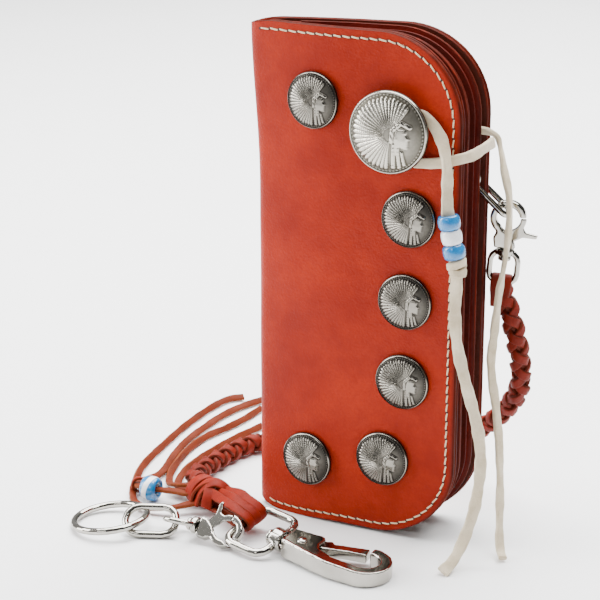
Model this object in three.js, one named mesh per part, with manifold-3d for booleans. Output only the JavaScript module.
// A long leather chain wallet, standing on its lower short edge, with its braided
// lanyard and key hardware laid on the same surface.
//
// Millimetres. +X runs from the spine to the opening edge, -Y is the front cover's
// side and +Z runs up the wallet's length. The origin is under the middle of the
// wallet, on the surface that it stands on.
import * as THREE from "three";
import { mergeVertices } from "three/addons/utils/BufferGeometryUtils.js";
import Module from "manifold-3d";

const wasm = await Module();
wasm.setup();

const rad = THREE.MathUtils.degToRad;

// ---- Driving dimensions -------------------------------------------------------

const LENGTH = 195; // height of the standing wallet
const WIDTH = 86; // spine to the back cover's opening edge
const CORNER_R = 32; // rounded corners on the opening side
const SPINE_HALF = 8.3; // half thickness that the covers' flat faces lead back to
const FAN_DEG = 4.33; // each cover leans out from the middle plane by this much
const BOW = 5.3; // how far a cover curves in at the spine
const BOW_LENGTH = 40; // the curve starts this far from the spine
const FOLD_U = 4.4; // the folded spine ends and the covers start here
const MID_Y = 3.5; // the wallet's middle plane, so that its box is centred on Y = 0
const GAP = 0.3; // clearance between pieces that touch

const COVER_T = 2.2;
const LINING_T = 1.5;
const PANEL_T = 1.4;
const CARD_BASE_T = 1.2;
const COIN_PANEL_T = 1;
const CARD_SLOT_T = 0.7;
const SPINE_X = -WIDTH / 2;
const EDGE_SLANT = Math.tan(rad(FAN_DEG)); // the opening edge is square to the front cover
const EDGE_X = SPINE_X + WIDTH - 1.1; // the opening edge at the middle plane
const COVER_STACK = COVER_T + GAP + LINING_T;

const SMALL_CONCHO_R = 10.7;
const LARGE_CONCHO_R = 15.4;
const LACE_D = 3.2;
const FRINGE_D = 2.8;
const ROPE_D = 8;

// ---- Shared helpers -------------------------------------------------------------

const vec = (x, y, z) => new THREE.Vector3(x, y, z);

const FINISHES = {
  leather: { color: 0xbb4b2b, roughness: 0.55, metalness: 0 },
  lining: { color: 0x9a4a2c, roughness: 0.7, metalness: 0 },
  lace: { color: 0xe5ddcc, roughness: 0.9, metalness: 0 },
  rope: { color: 0x843c23, roughness: 0.65, metalness: 0 },
  bead_blue: { color: 0x459fc2, roughness: 0.25, metalness: 0 },
  bead_white: { color: 0xd9dada, roughness: 0.25, metalness: 0 },
  nickel: { color: 0xcbc0b3, roughness: 0.18, metalness: 1 },
  silver: { color: 0xe1dbd1, roughness: 0.3, metalness: 1 },
  antique: { color: 0x8d8880, roughness: 0.4, metalness: 1 },
  brass: { color: 0xb08d57, roughness: 0.35, metalness: 1 },
  tape: { color: 0x2c211c, roughness: 0.9, metalness: 0 },
};

function makeMesh(name, geometry, finish) {
  const mesh = new THREE.Mesh(geometry, new THREE.MeshStandardMaterial(FINISHES[finish]));
  mesh.name = name;
  return mesh;
}

function toSolid(geometry) {
  const bare = (geometry.index ? geometry.toNonIndexed() : geometry.clone());
  for (const key of Object.keys(bare.attributes)) {
    if (key !== "position") bare.deleteAttribute(key);
  }
  const merged = mergeVertices(bare, 1e-4);
  const mesh = new wasm.Mesh({
    numProp: 3,
    vertProperties: new Float32Array(merged.attributes.position.array),
    triVerts: new Uint32Array(merged.index.array),
  });
  return new wasm.Manifold(mesh);
}

function toGeometry(solid) {
  const mesh = solid.getMesh();
  const geometry = new THREE.BufferGeometry();
  geometry.setAttribute("position", new THREE.BufferAttribute(mesh.vertProperties, 3));
  geometry.setIndex(new THREE.BufferAttribute(mesh.triVerts, 1));
  return geometry;
}

function join(...geometries) {
  return toGeometry(geometries.map(toSolid).reduce((whole, next) => whole.add(next)));
}

function cut(geometry, ...tools) {
  return toGeometry(tools.map(toSolid).reduce((whole, tool) => whole.subtract(tool), toSolid(geometry)));
}

function common(geometry, other) {
  return toGeometry(toSolid(geometry).intersect(toSolid(other)));
}

function shapeOf(points) {
  return new THREE.Shape(points.map(([x, y]) => new THREE.Vector2(x, y)));
}

// A flat plate of the given outline, lying in XY and rising from z = low to z = high.
function plate(shape, low, high, curveSegments = 6) {
  const geometry = new THREE.ExtrudeGeometry(shape, { depth: high - low, bevelEnabled: false, curveSegments });
  return geometry.translate(0, 0, low);
}

function circleShape(radius, sides) {
  const points = [];
  for (let i = 0; i < sides; i += 1) {
    const angle = (2 * Math.PI * i) / sides;
    points.push([radius * Math.cos(angle), radius * Math.sin(angle)]);
  }
  return shapeOf(points);
}

// A round bar along a smooth open or closed curve through the points.
function bar(points, diameter, steps, { sides = 8, closed = false, tension = 0.5 } = {}) {
  const curve = new THREE.CatmullRomCurve3(points.map((p) => vec(...p)), closed, "catmullrom", tension);
  return new THREE.ExtrudeGeometry(circleShape(diameter / 2, sides), {
    steps,
    bevelEnabled: false,
    extrudePath: curve,
  });
}

// A cylinder between two points.
function rod(from, to, radius, sides = 12) {
  const a = vec(...from);
  const b = vec(...to);
  const axis = b.clone().sub(a);
  const geometry = new THREE.CylinderGeometry(radius, radius, axis.length(), sides);
  const turn = new THREE.Quaternion().setFromUnitVectors(vec(0, 1, 0), axis.clone().normalize());
  geometry.applyQuaternion(turn);
  return geometry.translate(...a.add(b).multiplyScalar(0.5).toArray());
}

// A round bar bent into a closed rectangle with rounded corners, in the XY plane.
function roundedLoop(halfLength, halfWidth, corner, diameter, cornerSteps = 3, sides = 8) {
  const points = [];
  const centres = [[1, 1, 0], [-1, 1, 90], [-1, -1, 180], [1, -1, 270]];
  for (const [sx, sy, start] of centres) {
    for (let i = 0; i <= cornerSteps; i += 1) {
      const angle = rad(start + (90 * i) / cornerSteps);
      const x = sx * (halfLength - corner) + corner * Math.cos(angle);
      const y = sy * (halfWidth - corner) + corner * Math.sin(angle);
      points.push([x, y, 0]);
    }
  }
  return sweepClosed(points, diameter / 2, sides);
}

// A closed polygonal sweep: a ring of the section at each point, mitred in the path's plane.
function sweepClosed(points, radius, sides) {
  const count = points.length;
  const positions = [];
  const indices = [];
  for (let i = 0; i < count; i += 1) {
    const here = vec(...points[i]);
    const before = here.clone().sub(vec(...points[(i + count - 1) % count])).normalize();
    const after = vec(...points[(i + 1) % count]).sub(here).normalize();
    const tangent = before.clone().add(after).normalize();
    const up = vec(0, 0, 1);
    const side = new THREE.Vector3().crossVectors(tangent, up).normalize();
    const mitre = 1 / Math.max(0.5, tangent.dot(after));
    for (let k = 0; k < sides; k += 1) {
      const angle = (2 * Math.PI * (k + 0.5)) / sides;
      const point = here.clone()
        .addScaledVector(side, radius * mitre * Math.cos(angle))
        .addScaledVector(up, radius * Math.sin(angle));
      positions.push(...point.toArray());
    }
  }
  for (let i = 0; i < count; i += 1) {
    for (let k = 0; k < sides; k += 1) {
      const a = i * sides + k;
      const b = i * sides + ((k + 1) % sides);
      const c = ((i + 1) % count) * sides + k;
      const d = ((i + 1) % count) * sides + ((k + 1) % sides);
      indices.push(a, c, b, b, c, d);
    }
  }
  const geometry = new THREE.BufferGeometry();
  geometry.setAttribute("position", new THREE.Float32BufferAttribute(positions, 3));
  geometry.setIndex(indices);
  return geometry;
}

// ---- The wallet's leaves ------------------------------------------------------------

// Half the wallet's thickness at a distance u from the spine, to the cover's outer face.
function halfThickness(u) {
  const inBow = Math.max(0, 1 - u / BOW_LENGTH);
  return SPINE_HALF + u * Math.tan(rad(FAN_DEG)) - BOW * inBow * inBow;
}

// The leaf outline seen from the front: square at the spine, rounded at the opening edge.
function leafOutline(inset = 0) {
  const left = SPINE_X - 1;
  const right = EDGE_X - inset;
  const bottom = inset;
  const top = LENGTH - inset;
  const r = CORNER_R - inset;
  const shape = new THREE.Shape();
  shape.moveTo(left, bottom);
  shape.lineTo(right - r, bottom);
  shape.absarc(right - r, bottom + r, r, -Math.PI / 2, 0, false);
  shape.absarc(right - r, top - r, r, 0, Math.PI / 2, false);
  shape.lineTo(left, top);
  shape.closePath();
  const depth = 60;
  const prism = plate(shape, -depth / 2, depth / 2, 8).rotateX(Math.PI / 2);
  const slant = new THREE.Matrix4().set(1, EDGE_SLANT, 0, 0, 0, 1, 0, 0, 0, 0, 1, 0, 0, 0, 0, 1);
  return prism.applyMatrix4(slant);
}

// A leather sheet that follows a centre line seen from above, as high as the wallet.
function leafFromLine(line, thickness, side, inset = 0) {
  const half = thickness / 2;
  const outer = line.map(([u, y]) => [SPINE_X + u, side * (y + half)]);
  const inner = line.map(([u, y]) => [SPINE_X + u, side * (y - half)]).reverse();
  const sheet = plate(shapeOf([...outer, ...inner]), 0, LENGTH);
  return common(sheet, leafOutline(inset));
}

// The centre line of a sheet that lies a set depth under the cover's outer face.
function coverLine(depth, start) {
  const stops = [start, 9, 14, 20, 27, BOW_LENGTH, WIDTH + 1];
  return stops.map((u) => [u, halfThickness(u) - depth]);
}

// The folded spine, between the two covers: a half ring of leather seen from above.
function spineFold() {
  const radius = halfThickness(FOLD_U);
  const thick = COVER_STACK;
  const centreX = SPINE_X + FOLD_U - GAP;
  const stops = 10;
  const outer = [];
  const inner = [];
  for (let i = 0; i <= stops; i += 1) {
    const angle = Math.PI / 2 + (Math.PI * i) / stops;
    const reach = FOLD_U - GAP;
    outer.push([centreX + reach * Math.cos(angle), radius * Math.sin(angle)]);
    inner.push([centreX + (reach - thick * 0.75) * Math.cos(angle), (radius - thick) * Math.sin(angle)]);
  }
  return plate(shapeOf([...outer, ...inner.reverse()]), 0, LENGTH);
}

// The pleat that joins the two inner leaves behind the spine.
function centreFold() {
  const inner = [[15.6, 1.6], [13.2, 1.4], [12, 0.6], [12, -0.6], [13.2, -1.4], [15.6, -1.6]];
  const outer = [[15.6, -2.5], [12.8, -2.3], [11, -0.9], [11, 0.9], [12.8, 2.3], [15.6, 2.5]];
  return plate(shapeOf([...inner, ...outer].map(([u, y]) => [SPINE_X + u, y])), 1, LENGTH - 1);
}

const POCKET_LINE = [[16, 2.3], [34, 5.3], [WIDTH + 1, 6.4]];
const CARD_BASE_LINE = [[16.5, 0.75], [34, 3.4], [WIDTH + 1, 3.9]];
const COIN_PANEL_LINE = [[16.5, 0.75], [34, 3.4], [WIDTH + 1, 3.9]];

// Card slots: overlapping strips on the inside of the front leaf, like shingles.
const CARD_SLOTS = 4;
const CARD_STEP = 11;
const CARD_FIRST_TOP = 76;

function cardSlot(index) {
  const top = CARD_FIRST_TOP - CARD_STEP * index;
  const bottom = Math.max(top - 14, 34.5);
  const half = CARD_SLOT_T / 2;
  const slope = (2.12 - 0.85) / 14;
  const line = [[bottom, 0.85 + slope * (top - bottom)], [top, 0.85]];
  const points = [
    [SPINE_X + line[0][0], -(line[0][1] + half)],
    [SPINE_X + line[1][0], -(line[1][1] + half)],
    [SPINE_X + line[1][0], -(line[1][1] - half)],
    [SPINE_X + line[0][0], -(line[0][1] - half)],
  ];
  return common(plate(shapeOf(points), 6, LENGTH - 6), leafOutline(3));
}

// ---- Conchos and their screws ---------------------------------------------------------

// Places on the front cover: distance from the spine, height. The first six are small.
const COLUMN_U = 64.6;
const SMALL_CONCHOS = [
  [25.7, 167.7],
  [COLUMN_U, 127.3],
  [COLUMN_U - 1, 95.5],
  [COLUMN_U - 1.5, 64],
  [55.4, 31.6],
  [23.4, 25.4],
];
const LARGE_CONCHO = [57.8, 159.9];
const LARGE_STAND_OFF = 4.15; // the laces pass between the large concho and the cover
const POST_R = 2;
const SCREW_R = 3.8;

// The front cover's outer face at u: where it is, and which way it faces.
function coverFrame(u) {
  const step = 0.5;
  const slope = (halfThickness(u + step) - halfThickness(u - step)) / (2 * step);
  const frame = new THREE.Group();
  frame.position.set(SPINE_X + u, -halfThickness(u), 0);
  frame.rotation.z = -Math.atan(slope);
  return frame;
}

function onCover(mesh, [u, z]) {
  const frame = coverFrame(u);
  frame.position.z = z;
  frame.add(mesh);
  return frame;
}

// A domed coin button with its post, facing -Y.
function conchoGeometry(radius, rise, sides, standOff = 0.35) {
  const back = -standOff;
  const post = COVER_T + 0.1;
  const profile = [
    [0, post], [POST_R, post], [POST_R, back], [radius * 0.6, back], [radius * 0.97, back],
    [radius, back - 0.9], [radius * 0.93, back - 1.5], [radius * 0.7, back - rise * 0.7],
    [radius * 0.4, back - rise * 0.93], [0, back - rise],
  ];
  const points = profile.map(([r, y]) => new THREE.Vector2(r, y)).reverse();
  return new THREE.LatheGeometry(points, sides);
}

// The flat screw that holds a post from the lining side.
function screwGeometry() {
  return rod([0, COVER_T + 0.4, 0], [0, COVER_STACK - 0.1, 0], SCREW_R - GAP, 10);
}

// A sheet with a round hole behind each concho.
function holed(sheet, radius) {
  const tools = [...SMALL_CONCHOS, LARGE_CONCHO].map(([u, z]) => {
    const slope = coverFrame(u).rotation.z;
    const drill = rod([0, -6, 0], [0, 8, 0], radius, 10);
    return drill.rotateZ(slope).translate(SPINE_X + u, -halfThickness(u), z);
  });
  return cut(sheet, ...tools);
}

// ---- Zip coin pocket --------------------------------------------------------------------

const ZIP_U = 71;
const ZIP_LOW = 20;
const ZIP_HIGH = 172;
const ZIP_Y = 3.7; // middle of the coin panel there
const TEETH_HALF = 2;

function box(x0, x1, y0, y1, z0, z1) {
  const geometry = new THREE.BoxGeometry(x1 - x0, y1 - y0, z1 - z0);
  return geometry.translate((x0 + x1) / 2, (y0 + y1) / 2, (z0 + z1) / 2);
}

function coinPanel() {
  const x = SPINE_X + ZIP_U;
  const sheet = leafFromLine(COIN_PANEL_LINE, COIN_PANEL_T, 1, 2);
  return cut(sheet, box(x - 4, x + 4, -2, 8, ZIP_LOW, ZIP_HIGH));
}

function zipTape() {
  const x = SPINE_X + ZIP_U;
  return box(x - 8, x + 8, ZIP_Y + 0.85, ZIP_Y + 1.2, ZIP_LOW - 4, ZIP_HIGH + 4);
}

// The closed row of teeth: a strip with a notched front.
function zipTeeth() {
  const x = SPINE_X + ZIP_U;
  const pitch = 4;
  const front = ZIP_Y - 1.1;
  const points = [[ZIP_Y + 0.7, ZIP_LOW + 1], [front, ZIP_LOW + 1]];
  for (let z = ZIP_LOW + 1 + pitch; z < ZIP_HIGH - 1; z += pitch) {
    points.push([front, z - 0.8], [front + 0.5, z - 0.4], [front, z]);
  }
  points.push([front, ZIP_HIGH - 1], [ZIP_Y + 0.7, ZIP_HIGH - 1]);
  const strip = plate(shapeOf(points), -TEETH_HALF, TEETH_HALF);
  // The outline is drawn in (Y, Z), so its extrusion has to run along X.
  const turn = new THREE.Matrix4().makeBasis(vec(0, 1, 0), vec(0, 0, 1), vec(1, 0, 0));
  return strip.applyMatrix4(turn).translate(x, 0, 0);
}

function zipSlider() {
  const x = SPINE_X + ZIP_U;
  const shell = box(x - 3.6, x + 3.6, ZIP_Y - 2.6, ZIP_Y + 0.6, ZIP_HIGH - 12, ZIP_HIGH - 3);
  const channel = box(x - 2.4, x + 2.4, ZIP_Y - 1.5, ZIP_Y + 2, ZIP_HIGH - 14, ZIP_HIGH);
  const stem = rod([x, ZIP_Y - 3.9, ZIP_HIGH - 7.5], [x, ZIP_Y - 2, ZIP_HIGH - 7.5], 0.9, 8);
  return join(cut(shell, channel), stem);
}

function zipPull() {
  const x = SPINE_X + ZIP_U;
  const top = ZIP_HIGH - 7.5;
  const shape = new THREE.Shape();
  shape.absarc(0, 0, 2.6, 0, Math.PI, false);
  shape.lineTo(-2.2, -20);
  shape.absarc(0, -20, 2.2, Math.PI, 2 * Math.PI, false);
  shape.closePath();
  const eye = new THREE.Path();
  eye.absarc(0, 0, 1.3, 0, 2 * Math.PI, true);
  shape.holes.push(eye);
  return plate(shape, 0, 0.8, 5).rotateX(Math.PI / 2).translate(x, ZIP_Y - 2.9, top);
}

// ---- Eyelet and ring on the back cover's edge -----------------------------------------------

const EYELET_U = 79.8;
const EYELET_Z = 138.6;
const RING_D = 2.6;
const RING_HALF_L = 9.6;
const RING_HALF_W = 4.15;
const RING_CORNER = 2.3;
const RING_SHIFT = 0.75; // the ring hangs through the eyelet with both flanges between its bars
const RING_DROP_DEG = 42.5;

function backFrame(u, z) {
  const frame = new THREE.Group();
  frame.position.set(SPINE_X + u, halfThickness(u) - COVER_T / 2, z);
  frame.rotation.z = rad(FAN_DEG);
  return frame;
}

// A flanged metal eye through the back cover and its lining.
function eyelet() {
  const inner = 2.45;
  const outer = 3.1;
  const flange = 4.1;
  const front = COVER_T / 2 + GAP;
  const back = -(COVER_T / 2 + GAP + LINING_T + GAP);
  const profile = [
    [inner, front + 0.5], [flange, front + 0.3], [flange, front], [outer, front],
    [outer, back], [flange, back], [flange, back - 0.15], [inner, back - 0.3], [inner, front + 0.5],
  ];
  return new THREE.LatheGeometry(profile.map(([r, y]) => new THREE.Vector2(r, y)).reverse(), 14);
}

function eyeletHole(sheet) {
  const u = EYELET_U;
  const drill = rod([0, -8, 0], [0, 6, 0], 3.4, 14);
  drill.rotateZ(rad(FAN_DEG)).translate(SPINE_X + u, halfThickness(u), EYELET_Z);
  return cut(sheet, drill);
}

// The ring lies in the plane of the cover's normal and a line that drops away outwards.
function walletRing() {
  const ring = roundedLoop(RING_HALF_L, RING_HALF_W, RING_CORNER, RING_D, 4);
  const drop = rad(RING_DROP_DEG);
  const along = vec(Math.cos(drop), 0, -Math.sin(drop));
  const normal = new THREE.Vector3().crossVectors(along, vec(0, 1, 0));
  ring.applyMatrix4(new THREE.Matrix4().makeBasis(along, vec(0, 1, 0), normal));
  return ring.translate(...along.multiplyScalar(RING_HALF_L).toArray());
}

function circlePoints(radius, count) {
  const points = [];
  for (let i = 0; i < count; i += 1) {
    const angle = (2 * Math.PI * i) / count;
    points.push([radius * Math.cos(angle), radius * Math.sin(angle), 0]);
  }
  return points;
}

// ---- Lobster clasp: hook with a swivel eye and a sprung lever ----------------------------------
// Drawn upright, seen from -Y: hook at the top, eye below, lever to +X. The hook's centre
// is the origin, and the swivel axis is the Z axis.

const HOOK_R = 5.6; // to the middle of the bar
const HOOK_BAR = 2.5;
const CLASP_T = 3.2;
const EYE_END_Z = -25.4;

function arcPoints(radius, fromDeg, toDeg, steps) {
  const points = [];
  for (let i = 0; i <= steps; i += 1) {
    const angle = rad(fromDeg + ((toDeg - fromDeg) * i) / steps);
    points.push([radius * Math.cos(angle), radius * Math.sin(angle)]);
  }
  return points;
}

function uprightPlate(shape, thickness) {
  return plate(shape, -thickness / 2, thickness / 2, 6).rotateX(Math.PI / 2);
}

function claspHook() {
  const outer = HOOK_R + HOOK_BAR / 2;
  const inner = HOOK_R - HOOK_BAR / 2;
  const tip = 8;
  const hook = shapeOf([
    ...arcPoints(outer, tip, 235, 13),
    [-5, -8], [-4.2, -11.8], [3.6, -11.8], [3, -9], [0.5, -6], [-1.8, -4.7],
    ...arcPoints(inner, 235, tip, 11),
  ]);
  const slot = box(-3.4, 9, -0.85, 0.85, -11.2, -4);
  const stem = rod([0, 0, -15], [0, 0, -11.4], 1.5, 12);
  const head = rod([0, 0, -16.6], [0, 0, -14.9], 2.6, 12);
  return join(cut(uprightPlate(hook, CLASP_T), slot), stem, head);
}

// The lever turns on the rivet inside the hook's slot; its claw closes the ring.
function claspLever() {
  const outer = HOOK_R + HOOK_BAR / 2;
  const inner = HOOK_R - HOOK_BAR / 2 + 0.3;
  const blade = shapeOf([
    [-3, -9.4], [-1.2, -10.4], [2.4, -9.3], [6, -7], [11.2, -7], [11.6, -5.5], [6.8, -4.8],
    ...arcPoints(outer, -28, 3, 4),
    ...arcPoints(inner, 3, -62, 6),
    [0.2, -5.9], [-2.2, -7],
  ]);
  return uprightPlate(blade, 1.1);
}

function claspEye(halfWide) {
  const collarTop = -12.1;
  const collarLow = -14.5;
  const tube = new THREE.LatheGeometry(
    [[1.9, collarLow], [3.3, collarLow], [3.3, collarTop], [1.9, collarTop], [1.9, collarLow]]
      .map(([r, y]) => new THREE.Vector2(r, y)),
    14,
  ).rotateX(Math.PI / 2);
  const halfTall = (collarLow - EYE_END_Z + 1.2) / 2;
  const loop = roundedLoop(halfTall, halfWide, 3.6, 2.4);
  loop.rotateZ(Math.PI / 2).rotateX(Math.PI / 2).translate(0, 0, EYE_END_Z + halfTall);
  const room = rod([0, 0, -17.4], [0, 0, -10], 1.9, 14);
  const headRoom = rod([0, 0, -18], [0, 0, -14.6], 3, 12);
  return cut(join(tube, loop), room, headRoom);
}

// ---- Trigger snap on the lanyard's end ------------------------------------------------------------
// Drawn flat, seen from +Z: the swivel axis is the X axis, hook at +X, gate at +Y.

const SNAP_T = 7.8;
const SNAP_BOW = [33.3, -1.2]; // centre of the hook's bow
const SNAP_BOW_R = 10.6;
const SNAP_ARM = 4.6;

function snapBody() {
  const [cx, cy] = SNAP_BOW;
  const outerArc = arcPoints(SNAP_BOW_R, -100, 97, 12).map(([x, y]) => [x + cx, y + cy]);
  const innerArc = arcPoints(SNAP_BOW_R - SNAP_ARM, 100, -104, 10).map(([x, y]) => [x + cx, y + cy]);
  const outline = shapeOf([
    [0, -5.6], [12, -9], [22, -11.4], ...outerArc, ...innerArc, [22, -6.4], [15.5, -3.6], [14.2, -0.8],
    [14.4, 3.4], [12.6, 6], [0, 5.2],
  ]);
  const body = plate(outline, -SNAP_T / 2, SNAP_T / 2);
  const gateRoom = box(4.6, 17, -4.2, 8, -2.3, 2.3);
  const pin = rod([-7.2, 0, 0], [0.4, 0, 0], 2, 12);
  const head = rod([-8.6, 0, 0], [-7, 0, 0], 3.1, 12);
  const taper = box(-10, 60, -20, 20, 0, 8).rotateY(rad(2.2)).translate(0, 0, SNAP_T / 2 - 0.2);
  return join(cut(body, gateRoom, taper), pin, head);
}

function snapGate() {
  const [cx, cy] = SNAP_BOW;
  const tipX = cx - 1.7;
  const blade = shapeOf([
    [6.6, 0.2], [8.4, -0.7], [14, -0.6], [24, cy + SNAP_BOW_R - SNAP_ARM - 2.6],
    [tipX - 0.2, cy + SNAP_BOW_R - SNAP_ARM - 1.4], [tipX - 0.9, cy + SNAP_BOW_R - 1],
    [22, 6.2], [17.4, 4.8], [15.6, 6.6], [13.6, 5.2], [8, 4.8], [6.4, 3.2],
  ]);
  return plate(blade, -1.9, 1.9);
}

// The swivel D-ring: a rounded loop with a bored hub on its right-hand bar.
const DRING_HALF_W = 11.6;
const DRING_L = 18.6;
const DRING_BAR = 3.4;

function dringLoop(barDiameter) {
  return roundedLoop(DRING_L / 2, DRING_HALF_W, 4.6, barDiameter, 3, 8).translate(-DRING_L / 2, 0, 0);
}

function snapRing() {
  const loop = dringLoop(DRING_BAR);
  const hub = rod([-2.6, 0, 0], [2.6, 0, 0], 4.4, 14);
  const bore = rod([-6, 0, 0], [6, 0, 0], 2.9, 12);
  return cut(join(loop, hub), bore);
}

// ---- Cords --------------------------------------------------------------------------------------------

const ROPE_ROUTE = [
  [49.6, 14.1, 96.4], [50.6, 14.2, 92.4], [52.8, 14.8, 86.4], [54.6, 15.8, 79], [56, 17.8, 70.4],
  [56.3, 20.8, 61.8], [54.6, 24.8, 52.6], [50.4, 29.4, 44.2], [44.8, 34.4, 36.8], [37.8, 39.8, 29.8],
  [29.8, 45.2, 22.6], [21.2, 50.2, 16], [12.2, 54.2, 10.4], [3, 57, 6.6], [-7, 58.6, 4.9],
  [-17, 59.2, 4.4], [-27, 58.8, 4.4], [-37, 57.4, 4.4], [-46.4, 54.8, 4.4], [-55.4, 51, 4.4],
  [-63.4, 45.6, 4.4], [-68.6, 38, 4.4], [-71, 28.4, 4.4], [-72.6, 18, 4.5], [-73.4, 8, 4.8],
  [-72, -1, 5.4], [-68.8, -7.4, 6],
];
const BEAD_LACE_ROUTE = [
  [20.5, -15.1, 166], [24.5, -15.5, 166.6], [28.6, -15.9, 165.6], [32.2, -16.4, 161.8],
  [35, -17.6, 157.4], [37, -19.9, 152.4], [37.6, -19.8, 147], [37.5, -19.4, 142],
  [37.6, -19.3, 138], [37.8, -19.3, 133.6], [38.6, -19.3, 129], [39.6, -19.3, 124],
  [40.6, -19.3, 119], [41.8, -19.4, 112],
  [41.9, -19.6, 104], [41.7, -19.6, 96], [42.2, -19.7, 88], [43.6, -19.8, 80], [45.8, -20, 72],
  [48.2, -20.1, 64], [50.7, -20.2, 56], [52.6, -20.6, 48], [53.6, -21.4, 40], [53.5, -22.8, 31],
  [52.6, -24.6, 22], [51, -26.6, 14.6], [49.2, -29.4, 8.2], [47.4, -33.4, 3.6], [45.6, -39.4, 1.8],
];
const CLOSING_STRAND_ROUTE = [
  [20.4, -15.1, 149.6], [24.8, -15.6, 149.2], [29.2, -16, 149.4], [33.6, -16.3, 150.1],
  [37.3, -16.5, 151], [41, -16.6, 152.2], [43.8, -14, 152.8], [45.2, -10, 153.2], [46, -5, 153.7],
  [46.6, 0, 154], [47, 4.6, 154.2],
];
const CLOSING_TAIL_ROUTE = [
  [37, 8.5, 157.6], [41, 8.6, 157.4], [44.4, 9.2, 156.8], [47, 10.2, 155], [48.4, 9.6, 151.4],
  [50.2, 7, 147.4], [51.6, 5, 143.4], [53.8, 3.4, 136.6], [54.6, 2.8, 130], [54.6, 2.4, 123],
  [54.4, 1.8, 116], [53.5, 1.2, 108], [52.4, 0.6, 99.6], [51.7, 0, 91], [51.2, -0.4, 82.4],
  [50.5, -1, 73], [51.4, -1.8, 65], [52.9, -2.6, 58], [54.4, -3.8, 50], [55.7, -5, 42.6],
  [56.6, -6.4, 35], [57.5, -8, 27.4], [58.2, -9.8, 19.8], [58.9, -11.8, 12.4], [59.7, -14, 6.4],
  [61, -16.6, 2.9], [62.9, -20, 1.8],
];
const FRINGE_ROUTES = [
  [[-65.6, -24.2, 4], [-70.5, -27.4, 3.2], [-76, -29, 2.6], [-82, -28.8, 2.2], [-87.6, -25, 2],
    [-92, -18.4, 1.8], [-95.6, -10, 1.6], [-98.6, -1, 1.6], [-101, 8, 1.6], [-102.6, 20, 1.6],
    [-103.2, 33, 1.6], [-103.8, 46, 1.6], [-104, 59, 1.6], [-103.4, 72, 1.6], [-102.2, 84, 1.6],
    [-99.6, 94, 1.6], [-94.4, 99.4, 1.6]],
  [[-67.4, -18.9, 6.2], [-73, -17.9, 6], [-80.4, -17.6, 5.4], [-88, -17.2, 5.2], [-91.6, -14.4, 4.6],
    [-92.4, -9, 3.8], [-90.4, -2, 3], [-91, 8, 1.8], [-93.4, 20, 1.6], [-95.2, 32, 1.6],
    [-96, 44, 1.6], [-95.4, 58, 1.6], [-94.2, 72, 1.6], [-91, 86, 1.6], [-85.2, 99, 1.6]],
  [[-71.4, -13.8, 7.4], [-76, -11.8, 5.8], [-80, -8, 4.2], [-83.8, -1.4, 2.4], [-87.2, 7, 1.6],
    [-89.4, 17, 1.6], [-90.9, 28, 1.6], [-91.2, 39, 1.6], [-89.8, 51, 1.6], [-86.4, 61, 1.6],
    [-83.2, 74, 1.6], [-81.3, 89, 1.6]],
  [[-71.4, -10.8, 4], [-75.6, -8.6, 3.2], [-79, -3.4, 2.2], [-81.6, 4, 1.6], [-82.9, 14, 1.6],
    [-82.4, 26, 1.6], [-80.6, 38, 1.6], [-77.8, 52, 1.6], [-72.8, 69.4, 1.6]],
];

// ---- Beads, knot and lace loop ------------------------------------------------------------------

const BEAD_R = 4.2;
const BEAD_HOLE_R = 2.1;
const BEAD_H = 5.2;
const BEAD_STACK_LOW = vec(41.2, -19.3, 115.9);
const BEAD_STACK_DIR = vec(-0.2, 0, 1).normalize();

function beadGeometry(radius, hole, height, sides = 14) {
  const half = height / 2;
  const profile = [
    [hole, -half * 0.8], [hole + 0.6, -half], [radius * 0.8, -half], [radius, -half * 0.45],
    [radius, half * 0.45], [radius * 0.8, half], [hole + 0.6, half], [hole, half * 0.8], [hole, -half * 0.8],
  ];
  return new THREE.LatheGeometry(profile.map(([r, y]) => new THREE.Vector2(r, y)), sides);
}

function alongAxis(geometry, axis, at) {
  const turn = new THREE.Quaternion().setFromUnitVectors(vec(0, 1, 0), axis.clone().normalize());
  return geometry.applyQuaternion(turn).translate(...at.toArray());
}

// The binding that gathers the lanyard's end: a thick wrapped knot lying on the surface.
function lanyardKnot() {
  const profile = [[0, -6.4], [4.6, -6.4], [5.4, -3], [5.6, 1.6], [6.6, 3.4], [6.4, 7], [4.6, 9.4], [0, 9.4]];
  const knot = new THREE.LatheGeometry(profile.map(([r, y]) => new THREE.Vector2(r, y)), 12);
  return alongAxis(knot, vec(0.83, -0.56, 0), vec(-59.7, -16.7, 6.8));
}

// The laces' wide fold round the D-ring's outer bar, in the D-ring's own frame: a flat loop
// with an opening for the bar, whose tail leans towards the knot.
const LOOP_LOW = 1.2;
const LOOP_WIDTH = 7.6;
const LOOP_R = 4.4;
const LOOP_HOLE_R = 2.15;
const LOOP_LEAN = 0.2;

function laceLoop() {
  const end = arcPoints(LOOP_R, -90, 90, 8);
  const shape = shapeOf([...end, [-11, 4.8], [-16.6, 5], [-16.6, -4.2], [-11, -4.5]]);
  const hole = circlePoints(LOOP_HOLE_R, 10).map(([x, y]) => new THREE.Vector2(x, y)).reverse();
  shape.holes.push(new THREE.Path(hole));
  const loop = plate(shape, -LOOP_LOW - LOOP_WIDTH, -LOOP_LOW).rotateX(Math.PI / 2);
  const lean = new THREE.Matrix4().set(1, 0, 0, 0, -LOOP_LEAN, 1, 0, 0, 0, 0, 1, 0, 0, 0, 0, 1);
  return loop.applyMatrix4(lean).translate(-DRING_L, 0, 0);
}

// ---- Placing the hardware on the surface ------------------------------------------------------------

const SNAP_AT = vec(-17.7, -43, 5.4);
const SNAP_YAW = -9;
const SNAP_PITCH = 1.8;
const DRING_YAW = -19;
const DRING_ROLL = 14;
const DRING_PITCH = 3;
const SNAP_BODY_SHIFT = 3.7; // from the hub's middle to the snap's shoulder

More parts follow.
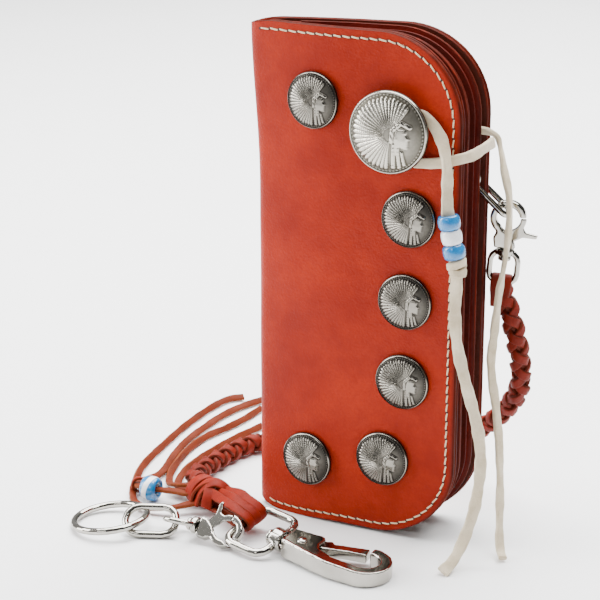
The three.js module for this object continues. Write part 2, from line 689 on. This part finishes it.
const LINK_AT = vec(-70.6, -45.3, 5.2);
const LINK_YAW = 18;
const LINK_ROLL = 38;
const KEY_RING_R = 14.3;
const KEY_WIRE = 3;
const END_CLASP_EYE = vec(-63.1, -43, 5.8);
const END_CLASP_YAW = -4;
const END_CLASP_ROLL = 40;
const END_EYE_ROLL = -28;

function placed(mesh, position, yaw, roll = 0, pitch = 0) {
  const group = new THREE.Group();
  group.position.copy(position);
  group.rotation.order = "ZYX";
  group.rotation.set(rad(roll), rad(pitch), rad(yaw));
  group.add(mesh);
  return group;
}

function oblongLink() {
  return roundedLoop(9.9, 6, 5.4, 3, 3, 8);
}

function keyRing() {
  const along = vec(-0.988, 0.077, -0.118).normalize();
  const start = LINK_AT.clone().add(vec(Math.cos(rad(LINK_YAW)), Math.sin(rad(LINK_YAW)), 0).multiplyScalar(-3.6));
  const across = new THREE.Vector3().crossVectors(vec(0, 0, 1), along).normalize();
  const normal = new THREE.Vector3().crossVectors(along, across);
  const ring = sweepClosed(circlePoints(KEY_RING_R, 28), KEY_WIRE / 2, 8);
  ring.applyMatrix4(new THREE.Matrix4().makeBasis(along, across, normal));
  return ring.translate(...start.addScaledVector(along, KEY_RING_R).toArray());
}

// The second clasp lies on its side: its axis points from the link to the D-ring.
function endClaspGroup(mesh, roll) {
  const lying = new THREE.Group();
  lying.rotation.set(rad(90), rad(90), 0);
  lying.position.set(-EYE_END_Z - 1.2, 0, 0);
  lying.add(mesh);
  return placed(lying, END_CLASP_EYE, END_CLASP_YAW, roll);
}

// The room that the D-ring's bar takes, seen from the second clasp's own frame: its hook is
// relieved there, where the two cross at a shallow angle.
function dringRoom() {
  const probe = new THREE.Object3D();
  const clasp = endClaspGroup(probe, END_CLASP_ROLL);
  clasp.updateMatrixWorld(true);
  const ring = placed(new THREE.Object3D(), SNAP_AT, DRING_YAW, DRING_ROLL, DRING_PITCH);
  ring.updateMatrixWorld(true);
  return dringLoop(DRING_BAR + 4 * GAP)
    .applyMatrix4(ring.matrixWorld)
    .applyMatrix4(probe.matrixWorld.clone().invert());
}

const CLASP_AT = vec(51.2, 14.1, 123.8);

// ---- Assembly ------------------------------------------------------------------------------------------------

const wallet = new THREE.Group();
wallet.position.y = MID_Y;
const add = (...objects) => wallet.add(...objects);

add(makeMesh("front_cover", holed(leafFromLine(coverLine(COVER_T / 2, FOLD_U), COVER_T, -1), POST_R + GAP), "leather"));
const liningDepth = COVER_T + GAP + LINING_T / 2;
add(makeMesh("front_lining", holed(leafFromLine(coverLine(liningDepth, FOLD_U), LINING_T, -1), SCREW_R), "lining"));
add(makeMesh("front_pocket_panel", leafFromLine(POCKET_LINE, PANEL_T, -1, 0.6), "leather"));
add(makeMesh("card_base_panel", leafFromLine(CARD_BASE_LINE, CARD_BASE_T, -1, 1.2), "lining"));
for (let i = 0; i < CARD_SLOTS; i += 1) {
  add(makeMesh(`card_slot_${i + 1}`, cardSlot(i), "leather"));
}
SMALL_CONCHOS.forEach((place, i) => {
  add(onCover(makeMesh(`small_concho_${i + 1}`, conchoGeometry(SMALL_CONCHO_R, 3.7, 18), "antique"), place));
  add(onCover(makeMesh(`concho_screw_${i + 1}`, screwGeometry(), "brass"), place));
});
add(onCover(makeMesh("large_concho", conchoGeometry(LARGE_CONCHO_R, 5.2, 24, LARGE_STAND_OFF), "silver"), LARGE_CONCHO));
add(onCover(makeMesh("concho_screw_7", screwGeometry(), "brass"), LARGE_CONCHO));

add(makeMesh("spine_fold", spineFold(), "leather"));
add(makeMesh("centre_fold", centreFold(), "leather"));
add(makeMesh("back_cover", eyeletHole(leafFromLine(coverLine(COVER_T / 2, FOLD_U), COVER_T, 1)), "leather"));
add(makeMesh("back_lining", eyeletHole(leafFromLine(coverLine(liningDepth, FOLD_U), LINING_T, 1)), "lining"));
add(makeMesh("rear_pocket_panel", leafFromLine(POCKET_LINE, PANEL_T, 1, 0.6), "leather"));
add(makeMesh("coin_pocket_panel", coinPanel(), "leather"));
add(makeMesh("zip_tape", zipTape(), "tape"));
add(makeMesh("zip_teeth", zipTeeth(), "brass"));
add(makeMesh("zip_slider", zipSlider(), "brass"));
add(makeMesh("zip_pull", zipPull(), "brass"));

const eyeletPlace = backFrame(EYELET_U, EYELET_Z);
eyeletPlace.add(makeMesh("eyelet", eyelet(), "nickel"));
const ringPlace = backFrame(EYELET_U, EYELET_Z);
ringPlace.position.y -= RING_SHIFT;
ringPlace.add(makeMesh("wallet_ring", walletRing(), "nickel"));
add(eyeletPlace, ringPlace);

const claspPlace = placed(new THREE.Group(), CLASP_AT, 8, 0, 4);
claspPlace.add(makeMesh("clasp_hook", claspHook(), "nickel"));
claspPlace.add(makeMesh("clasp_lever", claspLever(), "nickel"));
claspPlace.add(makeMesh("clasp_eye", claspEye(5.2), "nickel"));
add(claspPlace);

add(makeMesh("bead_lace", bar(BEAD_LACE_ROUTE, LACE_D, 32), "lace"));
add(makeMesh("closing_strand", bar(CLOSING_STRAND_ROUTE, LACE_D, 10), "lace"));
add(makeMesh("closing_tail", bar(CLOSING_TAIL_ROUTE, LACE_D, 30), "lace"));
["blue", "white", "blue"].forEach((colour, i) => {
  const at = BEAD_STACK_LOW.clone().addScaledVector(BEAD_STACK_DIR, (BEAD_H + GAP) * (i + 0.5));
  const bead = alongAxis(beadGeometry(BEAD_R, BEAD_HOLE_R, BEAD_H), BEAD_STACK_DIR, at);
  add(makeMesh(`lace_bead_${i + 1}`, bead, `bead_${colour}`));
});

add(makeMesh("braided_rope", bar(ROPE_ROUTE, ROPE_D, 30, { sides: 10 }), "rope"));
add(makeMesh("lanyard_knot", lanyardKnot(), "rope"));
add(placed(makeMesh("lace_loop", laceLoop(), "rope"), SNAP_AT, DRING_YAW, DRING_ROLL, DRING_PITCH));
FRINGE_ROUTES.forEach((route, i) => {
  add(makeMesh(`fringe_lace_${i + 1}`, bar(route, FRINGE_D, 14), "rope"));
});
const fringeBead = alongAxis(beadGeometry(5, 1.9, 6.8), vec(1, -0.05, 0), vec(-84.2, -17.4, 5.3));
add(makeMesh("fringe_bead", fringeBead, "bead_blue"));

add(placed(makeMesh("snap_ring", snapRing(), "nickel"), SNAP_AT, DRING_YAW, DRING_ROLL, DRING_PITCH));
const snapPlace = placed(new THREE.Group(), SNAP_AT, SNAP_YAW, 0, SNAP_PITCH);
const snapParts = new THREE.Group();
snapParts.position.x = SNAP_BODY_SHIFT;
snapParts.add(makeMesh("snap_hook", snapBody(), "nickel"));
snapParts.add(makeMesh("snap_gate", snapGate(), "nickel"));
snapPlace.add(snapParts);
add(snapPlace);

const endHook = cut(claspHook(), dringRoom());
const endLever = cut(claspLever(), dringRoom());
add(endClaspGroup(makeMesh("end_clasp_hook", endHook, "nickel"), END_CLASP_ROLL));
add(endClaspGroup(makeMesh("end_clasp_lever", endLever, "nickel"), END_CLASP_ROLL));
add(endClaspGroup(makeMesh("end_clasp_eye", claspEye(5.2), "nickel"), END_EYE_ROLL));
add(placed(makeMesh("oblong_link", oblongLink(), "nickel"), LINK_AT, LINK_YAW, LINK_ROLL));
add(makeMesh("key_ring", keyRing(), "nickel"));

const group = new THREE.Group();
group.add(wallet);
export default group;
